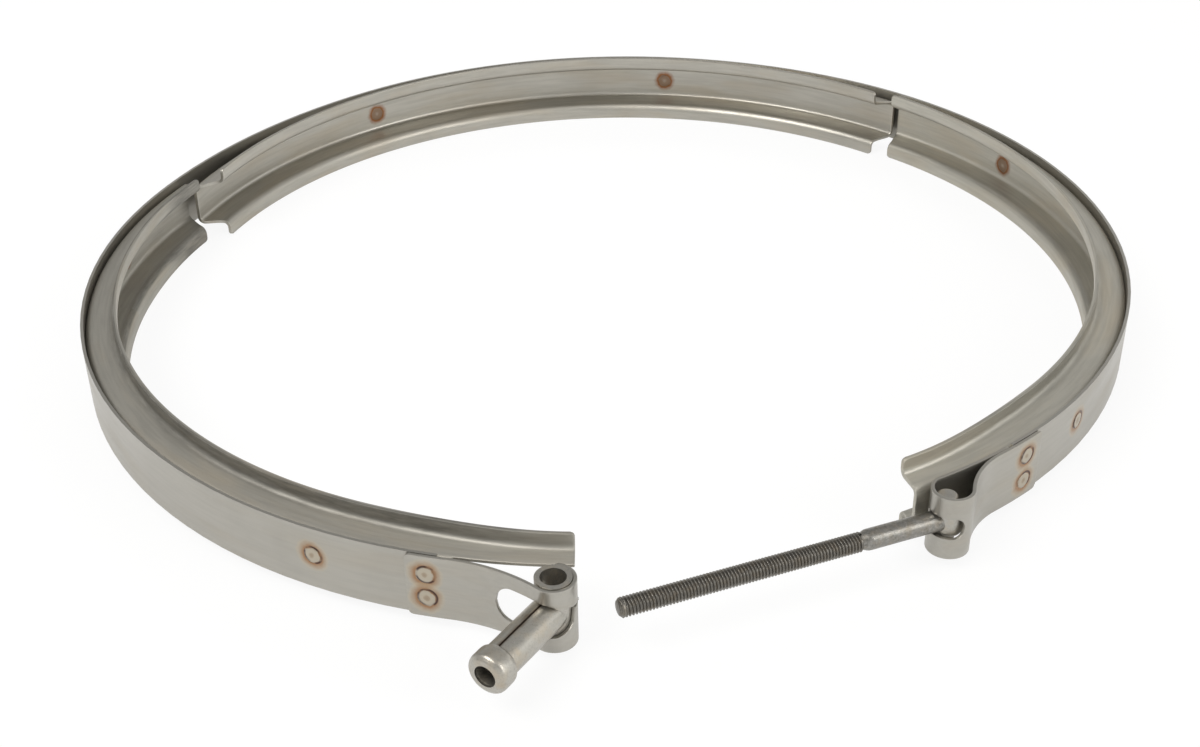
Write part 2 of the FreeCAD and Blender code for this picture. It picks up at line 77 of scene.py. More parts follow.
# Spot welds: (piece, axis in plan, radius, azimuth in degrees, height in mm).
WELDS = [
    ("outer_band", AXIS_LEFT, BAND_OUTSIDE, 243.9, 1.0),
    ("outer_band", AXIS_LEFT, BAND_OUTSIDE, 172.0, 0.5),
    ("loop_strap_left", AXIS_LEFT, STRAP_OUTSIDE, 255.5, 4.2),
    ("loop_strap_left", AXIS_LEFT, STRAP_OUTSIDE, 255.5, -3.8),
    ("outer_band", AXIS_RIGHT, BAND_OUTSIDE, 320.8, 1.0),
    ("outer_band", AXIS_RIGHT, BAND_OUTSIDE, 27.6, 0.5),
    ("loop_strap_right", AXIS_RIGHT, STRAP_OUTSIDE, 310.35, 4.4),
    ("loop_strap_right", AXIS_RIGHT, STRAP_OUTSIDE, 310.35, -4.6),
    ("outer_band", AXIS_BACK, BAND_OUTSIDE, 127.0, 0.0),
    ("outer_band", AXIS_BACK, BAND_OUTSIDE, 82.1, 0.0),
    ("retainer_back", AXIS_BACK, WEB_INSIDE, 127.0, 0.0),
    ("retainer_back", AXIS_BACK, WEB_INSIDE, 82.1, 0.0),
    ("retainer_right", AXIS_RIGHT, WEB_INSIDE, 27.6, -1.0),
    ("retainer_right", AXIS_RIGHT, WEB_INSIDE, 320.8, 0.5),
    ("retainer_left", AXIS_LEFT, WEB_INSIDE, 172.0, 0.0),
    ("retainer_left", AXIS_LEFT, WEB_INSIDE, 243.9, 0.5),
]


def on_ring(axis, radius, azimuth, height):
    """A point on one retainer's circle."""
    turn = math.radians(azimuth)
    return Vector((axis[0] + radius * math.cos(turn), axis[1] + radius * math.sin(turn), height))


# ------------------------------------------------------------------ materials
METALLIC = 0.92

# Spot welds: how far the heat reaches, in metres, and the colours that it leaves.
WELD_SCALE = 1.0 / 0.0057
WELD_WOBBLE = 0.0014
RING_SHIFT = (0.00045, 0.0002, 0.0002)
HEAT_BROWN = (0.23, 0.078, 0.016)
HEAT_DULL = (0.20, 0.12, 0.07)
HEAT_STRAW = (0.50, 0.41, 0.28)
HEAT_BLACK = (0.05, 0.028, 0.03)
HEAT_DIMPLE = (0.22, 0.15, 0.10)


class Steel:
    """A stainless finish, put together from nodes over Object coordinates."""

    def __init__(self, name, colour, roughness):
        self.material = bpy.data.materials.new(name)
        self.material.use_nodes = True
        self.tree = self.material.node_tree
        self.shader = self.tree.nodes["Principled BSDF"]
        self.shader.inputs["Metallic"].default_value = METALLIC
        self.colour = (*colour, 1.0)
        self.shader.inputs["Base Color"].default_value = self.colour
        self.shader.inputs["Roughness"].default_value = roughness
        self.place = self.node("ShaderNodeTexCoord").outputs["Object"]
        self.paint = None
        self.bumps = None

    def node(self, kind, **settings):
        made = self.tree.nodes.new(kind)
        for key, value in settings.items():
            setattr(made, key, value)
        return made

    def link(self, source, target):
        self.tree.links.new(source, target)

    def maths(self, operation, first, second=0.0):
        made = self.node("ShaderNodeMath", operation=operation)
        for socket, value in zip(made.inputs, (first, second)):
            if isinstance(value, (int, float)):
                socket.default_value = value
            else:
                self.link(value, socket)
        return made.outputs[0]

    def moved(self, centre):
        """Object coordinates measured from a centre."""
        made = self.node("ShaderNodeVectorMath", operation="SUBTRACT")
        self.link(self.place, made.inputs[0])
        made.inputs[1].default_value = centre
        return made.outputs[0]

    def plan(self, axis):
        """Distance from an upright axis, turn about it, and height."""
        parts = self.node("ShaderNodeSeparateXYZ")
        self.link(self.moved((axis[0], axis[1], 0.0)), parts.inputs[0])
        x, y, z = parts.outputs
        squares = self.maths("ADD", self.maths("MULTIPLY", x, x), self.maths("MULTIPLY", y, y))
        return self.maths("SQRT", squares), self.maths("ARCTAN2", y, x), z

    def rolled(self, axis, along, across):
        """Coordinates that stretch a pattern along the ring, as rolling does."""
        radius, turn, z = self.plan(axis)
        made = self.node("ShaderNodeCombineXYZ")
        self.link(self.maths("MULTIPLY", turn, along), made.inputs[0])
        self.link(self.maths("MULTIPLY", radius, across), made.inputs[1])
        self.link(self.maths("MULTIPLY", z, across), made.inputs[2])
        return made.outputs[0]

    def how_far(self, centre):
        """Distance from a centre."""
        made = self.node("ShaderNodeVectorMath", operation="LENGTH")
        self.link(self.moved(tuple(centre)), made.inputs[0])
        return made.outputs["Value"]

    def reach_along(self, origin, direction):
        """How far a place lies from an origin, along a direction."""
        made = self.node("ShaderNodeVectorMath", operation="DOT_PRODUCT")
        self.link(self.moved(tuple(origin)), made.inputs[0])
        made.inputs[1].default_value = tuple(direction)
        return made.outputs["Value"]

    def noise(self, vector, scale, detail=3.0, roughness=0.55):
        made = self.node("ShaderNodeTexNoise")
        self.link(vector, made.inputs["Vector"])
        made.inputs["Scale"].default_value = scale
        made.inputs["Detail"].default_value = detail
        made.inputs["Roughness"].default_value = roughness
        return made.outputs["Fac"]

    def ramp(self, value, stops):
        made = self.node("ShaderNodeValToRGB")
        self.link(value, made.inputs[0])
        while len(made.color_ramp.elements) < len(stops):
            made.color_ramp.elements.new(0.5)
        for element, (place, colour) in zip(made.color_ramp.elements, stops):
            element.position = place
            shade = colour if isinstance(colour, tuple) else (colour, colour, colour)
            element.color = (*shade, 1.0)
        return made.outputs[0]

    def tint(self, amount, colour, blend="MIX"):
        """Mixes a colour into the base colour by an amount."""
        made = self.node("ShaderNodeMix", data_type="RGBA", blend_type=blend)
        self.link(amount, made.inputs[0])
        if self.paint is None:
            made.inputs[6].default_value = self.colour
        else:
            self.link(self.paint, made.inputs[6])
        if isinstance(colour, tuple):
            made.inputs[7].default_value = (*colour, 1.0)
        else:
            self.link(colour, made.inputs[7])
        self.paint = made.outputs[2]
        self.link(self.paint, self.shader.inputs["Base Color"])

    def relief(self, height, strength, distance):
        """Adds a bump on top of those before it."""
        made = self.node("ShaderNodeBump")
        made.inputs["Strength"].default_value = strength
        made.inputs["Distance"].default_value = distance
        self.link(height, made.inputs["Height"])
        if self.bumps is not None:
            self.link(self.bumps, made.inputs["Normal"])
        self.bumps = made.outputs[0]
        self.link(self.bumps, self.shader.inputs["Normal"])

    def gloss(self, value, low, high):
        self.link(self.ramp(value, [(0.3, low), (0.7, high)]), self.shader.inputs["Roughness"])

    def weld(self, centre, inward, seed):
        """The heat tint and the pressed ring of one spot weld."""
        wander = self.noise(self.moved((seed, 0.0, 0.0)), 420.0, 2.0)
        wobble = self.maths("MULTIPLY", self.maths("SUBTRACT", wander, 0.5), WELD_WOBBLE)
        reach = self.maths("ADD", self.how_far(centre), wobble)
        steps = self.maths("MULTIPLY", reach, WELD_SCALE)
        halo = self.ramp(steps, [(0.42, 0.0), (0.50, 1.0), (0.59, 0.85), (0.70, 0.45), (0.88, 0.0)])
        self.tint(halo, HEAT_BROWN)
        if inward:
            fill = self.ramp(steps, [(0.0, 0.55), (0.20, 0.85), (0.42, 0.9), (0.60, 0.0)])
            self.tint(fill, HEAT_DULL)
            return
        straw = self.ramp(steps, [(0.0, 0.55), (0.38, 0.35), (0.9, 0.3), (1.0, 0.0)])
        self.tint(straw, HEAT_STRAW)
        off_centre = self.how_far(Vector(centre) + Vector(RING_SHIFT))
        ring_steps = self.maths("MULTIPLY", off_centre, WELD_SCALE)
        ring = self.ramp(ring_steps, [(0.40, 0.0), (0.47, 0.9), (0.52, 0.85), (0.57, 0.0)])
        broken = self.noise(self.moved((seed, 0.1, 0.2)), 330.0, 1.0)
        broken = self.ramp(broken, [(0.40, 0.15), (0.55, 1.0)])
        self.tint(self.maths("MULTIPLY", ring, broken), HEAT_BLACK)
        dimple = self.ramp(steps, [(0.02, 0.55), (0.12, 0.4), (0.20, 0.0)])
        self.tint(dimple, HEAT_DIMPLE)
        self.relief(self.ramp(steps, [(0.36, 0.35), (0.46, 0.0), (0.56, 1.0)]), 0.5, 0.0004)


# Each sheet piece's own finish, for the weld discs on it.
MATERIALS = {}


def rolled_steel(name, colour, axis, piece, roughness=(0.30, 0.42), grain=1.0, lip_shade=0.0):
    """Cold rolled stainless sheet: fine lengthwise grain, faint stains, its own welds and, with
    lip_shade, painted shade on the lips' outer faces.
    """
    steel = Steel(name, colour, roughness[0])
    fine = steel.noise(steel.rolled(axis, 9.0, 900.0), 1.0, 4.0, 0.6)
    broad = steel.noise(steel.rolled(axis, 5.0, 160.0), 1.0, 3.0, 0.5)
    cloud = steel.noise(steel.place, 38.0, 4.0, 0.6)
    darker = tuple(c * 0.74 for c in colour)
    warm = (colour[0] * 1.02, colour[1] * 0.90, colour[2] * 0.74)
    steel.tint(steel.ramp(fine, [(0.42, 0.0), (0.62, 0.40 * grain)]), darker)
    steel.tint(steel.ramp(broad, [(0.48, 0.0), (0.72, 0.34 * grain)]), warm)
    steel.tint(steel.ramp(cloud, [(0.50, 0.0), (0.75, 0.26)]), darker)
    steel.gloss(broad, *roughness)
    steel.relief(fine, 0.08 * grain, 0.0002)
    steel.relief(steel.noise(steel.rolled(axis, 4.0, 60.0), 1.0, 2.0), 0.05 * grain, 0.0006)
    if lip_shade > 0.0:
        # Painted shade on the lip's outer face, broken into lengthwise streaks.
        from_lip = steel.maths("SUBTRACT", steel.plan(axis)[0], LIP_OUTSIDE)
        lip_shade_amount = steel.maths("MULTIPLY", from_lip, 1.0 / LIP_SHADE_WIDTH)
        lip_shade_amount = steel.ramp(lip_shade_amount, [(0.05, 0.0), (0.12, 1.0), (0.34, 0.75), (0.62, 0.0)])
        streak = steel.noise(steel.rolled(axis, 14.0, 700.0), 1.0, 4.0, 0.65)
        streak = steel.ramp(streak, [(0.36, lip_shade), (0.64, lip_shade * 0.45)])
        steel.tint(steel.maths("MULTIPLY", lip_shade_amount, streak), tuple(c * 0.30 for c in colour))
        steel.relief(steel.noise(steel.place, 900.0, 2.0), 0.10, 0.0003)
    for number, (owner, centre_axis, radius, azimuth, height) in enumerate(WELDS):
        if owner == piece:
            centre = on_ring(centre_axis, radius, azimuth, height * MM)
            steel.weld(centre, owner.startswith("retainer"), 0.1 * number)
    MATERIALS[piece] = steel.material
    return steel.material


def formed_steel(name, colour, roughness, grain=260.0):
    """Pickled, formed stainless: fine pits and soft warm streaks."""
    steel = Steel(name, colour, roughness)
    pits = steel.noise(steel.place, grain * 9.0, 4.0, 0.65)
    streaks = steel.noise(steel.place, grain, 3.0, 0.55)
    warm = (colour[0] * 1.02, colour[1] * 0.88, colour[2] * 0.70)
    steel.tint(steel.ramp(streaks, [(0.45, 0.0), (0.70, 0.55)]), warm)
    steel.tint(steel.ramp(pits, [(0.50, 0.0), (0.68, 0.50)]), tuple(c * 0.62 for c in colour))
    steel.gloss(streaks, roughness * 0.8, roughness * 1.3)
    steel.relief(pits, 0.16, 0.0002)
    return steel


SHEET = (0.450, 0.432, 0.386)
# The same sheet for the left and right retainers: darker on the left as painted shade, lighter on the
# right as painted light.
SHEET_PAINTED_SHADE_LEFT = (0.420, 0.404, 0.362)
SHEET_PAINTED_LIGHT_RIGHT = (0.515, 0.496, 0.440)
STRIP = (0.412, 0.397, 0.360)


def dress(node, material):
    target = nodes[node]
    target.data.materials.clear()
    target.data.materials.append(material)


# ------------------------------------------------------------------ making pieces
SHARP_ANGLE = 38.0


def made_piece(name, shape, material, body, replaced=None):
    """Turns a bmesh into a piece that rides on a CAD body."""
    bmesh.ops.recalc_face_normals(shape, faces=shape.faces)
    mesh = bpy.data.meshes.new(name)
    shape.to_mesh(mesh)
    shape.free()
    mesh.materials.append(material)
    piece = bpy.data.objects.new(name, mesh)
    bpy.context.scene.collection.objects.link(piece)
    mesh.shade_smooth()
    mesh.set_sharp_from_angle(angle=math.radians(SHARP_ANGLE))
    if replaced:
        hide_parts(replaced)
    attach(piece, body)
    return piece


RIM_ANGLE = 60.0


def softened(shape, offset):
    """Rounds the sheared rims of a sheet."""
    shape.normal_update()
    paired = [edge for edge in shape.edges if len(edge.link_faces) == 2]
    rims = [edge for edge in paired if edge.calc_face_angle() > math.radians(RIM_ANGLE)]
    bmesh.ops.bevel(
        shape, geom=rims, offset=offset * MM, segments=2, profile=0.5, affect="EDGES", material=-1,
    )


def sheet_from_grid(columns, keep, thickness):
    """A sheet of metal from columns of mid-surface points, in mm; keep tells which cells are metal."""
    shape = bmesh.new()
    grid = [[shape.verts.new(Vector(point) * MM) for point in column] for column in columns]
    for i in range(len(grid) - 1):
        for j in range(len(grid[i]) - 1):
            corners = (grid[i][j], grid[i + 1][j], grid[i + 1][j + 1], grid[i][j + 1])
            if keep(i, j) and len({tuple(round(c, 7) for c in corner.co) for corner in corners}) > 2:
                shape.faces.new(corners)
    bmesh.ops.delete(shape, geom=[vert for vert in shape.verts if not vert.link_faces], context="VERTS")
    bmesh.ops.remove_doubles(shape, verts=shape.verts, dist=2e-6)
    bmesh.ops.recalc_face_normals(shape, faces=shape.faces)
    shape.normal_update()
    for vert in shape.verts:
        vert.co -= vert.normal * thickness * MM / 2.0
    bmesh.ops.solidify(shape, geom=shape.faces[:], thickness=-thickness * MM)
    return shape


def turned(outline, steps):
    """A shape turned about the X axis from (x, radius) points in mm."""
    shape = bmesh.new()
    points = [shape.verts.new((x * MM, 0.0, radius * MM)) for x, radius in outline]
    edges = [shape.edges.new(pair) for pair in zip(points, points[1:])]
    bmesh.ops.spin(
        shape, geom=points + edges, cent=(0, 0, 0), axis=(1, 0, 0),
        angle=2 * math.pi, steps=steps, use_merge=True,
    )
    bmesh.ops.remove_doubles(shape, verts=shape.verts, dist=1e-6)
    return shape


def eased(value):
    value = min(1.0, max(0.0, value))
    return value * value * (3.0 - 2.0 * value)


def arc_points(x, y, radius, first, last, steps):
    turns = [math.radians(first + (last - first) * k / steps) for k in range(steps + 1)]
    return [(x + radius * math.cos(turn), y + radius * math.sin(turn)) for turn in turns]


# ------------------------------------------------------------------ rolled V retainers
RETAINER_SHEET = 1.3
RETAINER_RIM = 0.22
LIP_MID = 163.65
WEB_MID = 173.65
LIP_TOP = 14.3
FLANGE_AT_LIP = 9.0
FLANGE_AT_WEB = 7.5
LIP_BEND = 2.5
WEB_BEND = 2.3


def vee_section():
    """Half of the V section's mid-surface as (radius, z), from the lip's edge to mid web."""
    slope = math.degrees(math.atan2(FLANGE_AT_LIP - FLANGE_AT_WEB, WEB_MID - LIP_MID))
    tuck = math.tan(math.radians(90.0 - slope) / 2.0)
    bend_low = FLANGE_AT_LIP + LIP_BEND * tuck
    points = [(LIP_MID, LIP_TOP - step) for step in (0.0, 0.25, 0.6, 1.1, 1.8)]
    points += arc_points(LIP_MID + LIP_BEND, bend_low, LIP_BEND, 180.0, 270.0 - slope, 9)
    web_low = FLANGE_AT_WEB - WEB_BEND * tuck
    curl = arc_points(WEB_MID - WEB_BEND, web_low, WEB_BEND, 90.0 - slope, 0.0, 8)
    x, y = points[-1]
    points += [(x + (curl[0][0] - x) * k / 5.0, y + (curl[0][1] - y) * k / 5.0) for k in range(1, 5)]
    points += curl + [(WEB_MID, web_low * k) for k in (0.8, 0.6, 0.4, 0.2, 0.0)]
    return points


CORNER = 1.4
FLARE_SPAN = 22.0
CELL_TURN = 0.8
DEGREES_PER_MM = math.degrees(1.0 / 168.0)


def denser_ends(count):
    """Places from 0 to 1, four times as close together near both ends."""
    coarse = {k / count for k in range(count + 1)}
    first = {k / count / 4.0 for k in range(9)}
    last = {1.0 - k / count / 4.0 for k in range(9)}
    return sorted(coarse | first | last)


def retainer(
    node, centre, first, last, material, flare=(0.0, 0.0), cut=(0.0, 0.0),
    notch=None, droop=0.0, lower_cut=None, lift=0.0,
):
    """One retainer, in mm and degrees, from its first end to its last.

    Cut is how far the lips stop short of the web, flare how far they open, droop how far the
    upper lip sinks at the first end. With its own cut, the lower lip's first end lifts instead
    of opening. Beyond the notch's azimuth, only the upper half inside the notch's radius is left.
    """
    half = vee_section()
    section = half + [(radius, -z) for radius, z in reversed(half[:-1])]
    places = denser_ends(int((last - first) / CELL_TURN))
    columns = []
    for place in places:
        column = []
        for radius, z in section:
            depth = (WEB_MID - radius) / (WEB_MID - LIP_MID)
            near_edge = max(0.0, CORNER - (LIP_TOP - abs(z)))
            rounding = CORNER - math.sqrt(max(0.0, CORNER * CORNER - near_edge * near_edge))
            own_lower_end = z <= 0.0 and lower_cut is not None
            first_cut = lower_cut if own_lower_end else cut[0]
            low = first + (first_cut * eased(depth * 1.1) + rounding) * DEGREES_PER_MM
            high = last - (cut[1] * eased(depth * 1.1) + rounding) * DEGREES_PER_MM
            azimuth = low + (high - low) * place
            near_first = eased(1.0 - (azimuth - first) / FLARE_SPAN) ** 1.5
            near_last = eased(1.0 - (last - azimuth) / FLARE_SPAN) ** 1.5
            opening = (0.0 if own_lower_end else flare[0] * near_first) + flare[1] * near_last
            reach = radius + opening * depth
            shift = (-droop if z > 0.0 else lift) * near_first * depth
            turn = math.radians(azimuth)
            x = centre[0] / MM + reach * math.cos(turn)
            y = centre[1] / MM + reach * math.sin(turn)
            column.append((x, y, z + shift))
        columns.append(column)

    def keep(i, j):
        if notch is None:
            return True
        azimuth = first + (last - first) * (places[i] + places[i + 1]) / 2.0
        radius = (section[j][0] + section[j + 1][0]) / 2.0
        return azimuth < notch[0] or (radius < notch[1] and section[j][1] >= 0.0)

    shape = sheet_from_grid(columns, keep, RETAINER_SHEET)
    softened(shape, RETAINER_RIM)
    made_piece(node + "_rolled", shape, material, "clamp", node)


retainer(
    "retainer_back", AXIS_BACK, 45.9, 163.1,
    rolled_steel("back_vee_steel", SHEET, AXIS_BACK, "retainer_back", (0.36, 0.50)),
    cut=(3.4, 5.0),
)
retainer(
    "retainer_left", AXIS_LEFT, 155.85, 269.0,
    rolled_steel(
        "left_vee_steel", SHEET_PAINTED_SHADE_LEFT, AXIS_LEFT, "retainer_left", (0.50, 0.62), lip_shade=0.75,
    ),
    flare=(1.2, 2.5), cut=(2.4, 0.0), notch=(257.5, 171.9), droop=1.6,
)
retainer(
    "retainer_right", AXIS_RIGHT, -63.58, 47.2,
    rolled_steel(
        "right_vee_steel", SHEET_PAINTED_LIGHT_RIGHT, AXIS_RIGHT, "retainer_right", (0.48, 0.60), lip_shade=0.45,
    ),
    flare=(2.8, 0.5), cut=(0.0, 2.0), lower_cut=3.6, lift=1.4,
)

# ------------------------------------------------------------------ loop straps
STRAP_SHEET = 1.1
STRAP_RIM = 0.16
STRAP_HALF = 10.5
LEG_MID = 176.05
LOOP_MID = 5.9
PIVOT_REACH = 180.8
STRAP_CORNER = 1.6
STRAP_ROWS = 7


def strap_route(start, pivot, reverse, wrap=None, inner=None):
    """Plan of a strap about its retainer's axis, with +X through the pivot.

    It runs along the band, through a reverse bend and round the pivot by the wrap, or until
    it can come back inside. Each place is (x, y, loop angle); the angle is None off the loop.
    """
    leg_turn = -abs(pivot - start)
    bend = reverse - STRAP_SHEET / 2.0
    long_side, short_side = LEG_MID + bend, LOOP_MID + bend
    squares = long_side**2 + PIVOT_REACH**2 - short_side**2
    lean = math.degrees(math.acos(squares / (2 * long_side * PIVOT_REACH)))
    bend_x = long_side * math.cos(math.radians(lean))
    bend_y = -long_side * math.sin(math.radians(lean))
    turn = math.degrees(math.atan2(bend_y, bend_x - PIVOT_REACH))
    route = [(x, y, None) for x, y in arc_points(0, 0, LEG_MID, leg_turn, -lean, 24)]
    reversed_bend = arc_points(bend_x, bend_y, bend, 180.0 - lean, turn + 180.0, 60)
    route += [(x, y, None) for x, y in reversed_bend[1:]]
    stop = turn + wrap if wrap else 180.0
    count = int((stop - turn) / 2.5)
    loop = arc_points(PIVOT_REACH, 0, LOOP_MID, turn, stop, count)
    route += [(x, y, turn + (stop - turn) * (k + 1) / count) for k, (x, y) in enumerate(loop[1:])]
    if inner:
        returned = arc_points(0, 0, PIVOT_REACH - LOOP_MID, 0.0, -abs(pivot - inner), 40)
        route += [(x, y, None) for x, y in returned[1:]]
    return route


def strap(node, centre, pivot, side, route, window, material):
    """A strap from its route. Window gives the opening's upper and lower edge at each place."""
    frames = []
    gone = 0.0
    for k, (x, y, angle) in enumerate(route):
        if k:
            gone += math.dist((x, y), route[k - 1][:2])
        frames.append((x, y, angle, gone))
    loop_start = next(gone for x, y, angle, gone in frames if angle is not None)
    length = frames[-1][3]
    turn = math.radians(pivot)
    columns = []
    for x, y, angle, along in frames:
        high, low = window(angle, along - loop_start) or (0.0, 0.0)
        near_end = min(along, length - along)
        past = max(0.0, STRAP_CORNER - near_end)
        top = STRAP_HALF - STRAP_CORNER + math.sqrt(max(0.0, STRAP_CORNER**2 - past**2))
        levels = [top + (high - top) * k / STRAP_ROWS for k in range(STRAP_ROWS + 1)]
        levels += [low + (-top - low) * k / STRAP_ROWS for k in range(STRAP_ROWS + 1)]
        y *= side
        world_x = centre[0] / MM + x * math.cos(turn) - y * math.sin(turn)
        world_y = centre[1] / MM + x * math.sin(turn) + y * math.cos(turn)
        columns.append([(world_x, world_y, level) for level in levels])
    shape = sheet_from_grid(columns, lambda i, j: j != STRAP_ROWS, STRAP_SHEET)
    softened(shape, STRAP_RIM)
    made_piece(node + "_formed", shape, material, "clamp", node)


def between(value, table):
    """Straight-line reading of a small table."""
    for (a, u), (b, v) in zip(table, table[1:]):
        if a <= value <= b:
            return u + (v - u) * (value - a) / (b - a)
    return table[0][1] if value < table[0][0] else table[-1][1]


def oval(value, first, last, end_first, end_last):
    """Share of a slot's half height: 1 inside, rounded to 0 at both ends."""
    if value <= first or value >= last:
        return 0.0
    share = 1.0
    if value < first + end_first:
        share = math.sqrt(max(0.0, 1.0 - ((first + end_first - value) / end_first) ** 2))
    if value > last - end_last:
        share = min(share, math.sqrt(max(0.0, 1.0 - ((value - last + end_last) / end_last) ** 2)))
    return share


# The left strap's opening: how far it runs onto the leg, its half height there, and its upper
# and lower edge round the loop as (loop angle, height). Past SLIT_END it is the bolt's slot.
WINDOW_REACH = 14.6
WINDOW_HALF = 5.8
UPPER_EDGE = [(-60, 5.8), (-16, 5.75), (15, 5.0), (46, 3.9), (60, 3.4), (70, 3.2), (99, 3.2)]
LOWER_EDGE = [
    (-60, -5.8), (-30, -5.6), (-6, -5.4), (10, -5.25), (25, -4.55), (36, -3.95),
    (46, -3.15), (52, -2.65), (60, -1.7), (69, 2.4), (99, 2.6),
]
SLIT_END = 99.0
SLOT_HALF = 3.5


def left_window(angle, along):
    """The stem's window runs from the leg round the loop's front; the bolt's slot is behind."""
    if angle is None:
        share = oval(along, -WINDOW_REACH, 100.0, 5.2, 1.0)
        return (WINDOW_HALF * share, -WINDOW_HALF * share) if share > 0.0 else None
    high = between(angle, UPPER_EDGE)
    low = between(angle, LOWER_EDGE)
    if angle > SLIT_END:
        share = oval(angle, 90.0, 166.0, 33.0, 33.0)
        opened = eased((angle - SLIT_END) / 12.0)
        high = min(high, SLOT_HALF) * share
        low = -SLOT_HALF * share * opened + low * (1.0 - opened)
    return (high, low) if high > low else None


# The right strap's opening: its upper and lower edge.
SHANK_ABOVE = 3.7
SHANK_BELOW = -3.45


def right_window(angle, along):
    """The shank's window is on the loop only."""
    if angle is None:
        return None
    share = oval(angle, -1.0, 139.0, 32.0, 32.0)
    return (SHANK_ABOVE * share, SHANK_BELOW * share) if share > 0.0 else None


# Azimuths of the two pivots, each about its own retainer's axis.
LEFT_PIVOT = 267.25
RIGHT_PIVOT = -61.06

strap(
    "loop_strap_left", AXIS_LEFT, LEFT_PIVOT, 1,
    strap_route(start=253.6, pivot=LEFT_PIVOT, reverse=56.0, wrap=222.0), left_window,
    rolled_steel("left_strap_steel", STRIP, AXIS_LEFT, "loop_strap_left", grain=0.5),
)
strap(
    "loop_strap_right", AXIS_RIGHT, RIGHT_PIVOT, -1,
    strap_route(start=-47.3, pivot=RIGHT_PIVOT, reverse=30.0, inner=-51.9), right_window,
    rolled_steel("right_strap_steel", STRIP, AXIS_RIGHT, "loop_strap_right", grain=0.5),
)

dress("outer_band", rolled_steel("band_steel", STRIP, AXIS_BACK, "outer_band", grain=0.5))


# ------------------------------------------------------------------ spot welds
# A disc's outline as (height over the sheet, radius) in mm: a low ring and a low dome inside it.
DISC = [
    (-0.35, 0.0), (-0.35, 2.65), (0.0, 2.65), (0.08, 2.5),
    (0.12, 2.15), (0.08, 1.4), (0.10, 0.6), (0.12, 0.0),
]


def weld_disc(number, owner, centre_axis, radius, azimuth, height):
    """The disc that one spot weld pressed into its sheet, in that sheet's finish."""
    disc = turned(DISC, 40)
    inwards = owner.startswith("retainer")
    facing = math.radians(azimuth + (180.0 if inwards else 0.0))
    centre = on_ring(centre_axis, radius, azimuth, height * MM)
    place = Matrix.Translation(centre) @ Matrix.Rotation(facing, 4, "Z")
    bmesh.ops.transform(disc, matrix=place, verts=disc.verts)
    made_piece("spot_weld_{:02d}".format(number), disc, MATERIALS[owner], "clamp")


for number, weld in enumerate(WELDS):
    weld_disc(number + 1, *weld)

# ------------------------------------------------------------------ trunnion
STEM_RADIUS = 5.1
LAP_PROUD = 0.16
LAP_SHEET = 0.42
LAP_RIM = 0.1
LAP_START = 4.6
LAP_END = 25.7
LAP_STEPS = 30

# The lap round the stem, from the seam's edge down: (angle, share of its height).
LAP_SECTION = [
    (93, 1), (96, 1), (102, 1), (110, 0.95), (120, 0.8), (132, 0.5), (146, 0.1), (158, -0.3),
]

# The seam's stretch along the stem, its level and its shifts across, in metres.
SEAM_START = 5.6 * MM
SEAM_END = 25.2 * MM
SEAM_LEVEL = 3.0 * MM
SEAM_SHIFT = 0.12 * MM
SMEAR_SHIFT = 0.2 * MM
SMEAR_WANDER = 2.2 * MM
SMEAR_BROWN = (0.16, 0.105, 0.06)
SEAM_DARK = (0.035, 0.022, 0.014)


def lie_along(shape, joint, mount):
    """Moves a shape built along +X from its pivot to where the record has it."""
    direction = Vector(mounts[mount]["axis"])
    turn = Matrix.Rotation(math.atan2(direction.y, direction.x), 4, "Z")
    place = Matrix.Translation(Vector(joints[joint]["pos_m"])) @ turn
    bmesh.ops.transform(shape, matrix=place, verts=shape.verts)


def seam_stain(steel):
    """A dark seam along the top of the stem, with a brown smear beside it."""
    origin = joints["trunnion_swing"]["pos_m"]
    axis = Vector(mounts["trunnion_bore"]["axis"])
    across = steel.reach_along(origin, (-axis.y, axis.x, 0.0))
    along = steel.reach_along(origin, axis)
    level = steel.reach_along((0.0, 0.0, 0.0), (0.0, 0.0, 1.0))
    past_barrel = steel.maths("GREATER_THAN", along, SEAM_START)
    before_collar = steel.maths("LESS_THAN", along, SEAM_END)
    on_stem = steel.maths("MULTIPLY", past_barrel, before_collar)
    on_top = steel.maths("MULTIPLY", steel.maths("GREATER_THAN", level, SEAM_LEVEL), on_stem)
    wander = steel.maths("SUBTRACT", steel.noise(steel.place, 260.0, 3.0), 0.5)
    wander = steel.maths("ADD", steel.maths("MULTIPLY", wander, SMEAR_WANDER), SMEAR_SHIFT)
    for shift, stops, colour in (
        (wander, [(0.10, 0.6), (0.9, 0.0)], SMEAR_BROWN),
        (SEAM_SHIFT, [(0.12, 0.95), (0.30, 0.0)], SEAM_DARK),
    ):
        away = steel.maths("ABSOLUTE", steel.maths("ADD", across, shift))
        amount = steel.ramp(steel.maths("MULTIPLY", away, 1.0 / MM), stops)
        steel.tint(steel.maths("MULTIPLY", amount, on_top), colour)


def stem_lap(material):
    """The stem is a rolled sheet: its outer edge laps over a lengthwise seam."""
    columns = []
    for k in range(LAP_STEPS + 1):
        x = LAP_START + (LAP_END - LAP_START) * k / LAP_STEPS
        column = []
        for angle, share in LAP_SECTION:
            radius = STEM_RADIUS + LAP_PROUD * share
            turn = math.radians(angle)
            column.append((x, radius * math.cos(turn), radius * math.sin(turn)))
        columns.append(column)
    lap = sheet_from_grid(columns, lambda i, j: True, LAP_SHEET)
    softened(lap, LAP_RIM)
    lie_along(lap, "trunnion_swing", "trunnion_bore")
    made_piece("trunnion_stem_lap", lap, material, "trunnion")


# The rolled collar at the stem's mouth, over the turned one: (along the stem, radius) in mm.
COLLAR = [
    (25.2, 5.0), (25.2, 5.35), (25.7, 5.8), (26.3, 6.1), (27.0, 6.2), (30.1, 6.2),
    (30.7, 6.08), (31.2, 5.76), (31.6, 5.18), (31.93, 4.6), (32.04, 4.1),
    (31.9, 3.65), (31.5, 3.35), (30.8, 3.22), (29.0, 3.2), (29.0, 5.0),
]


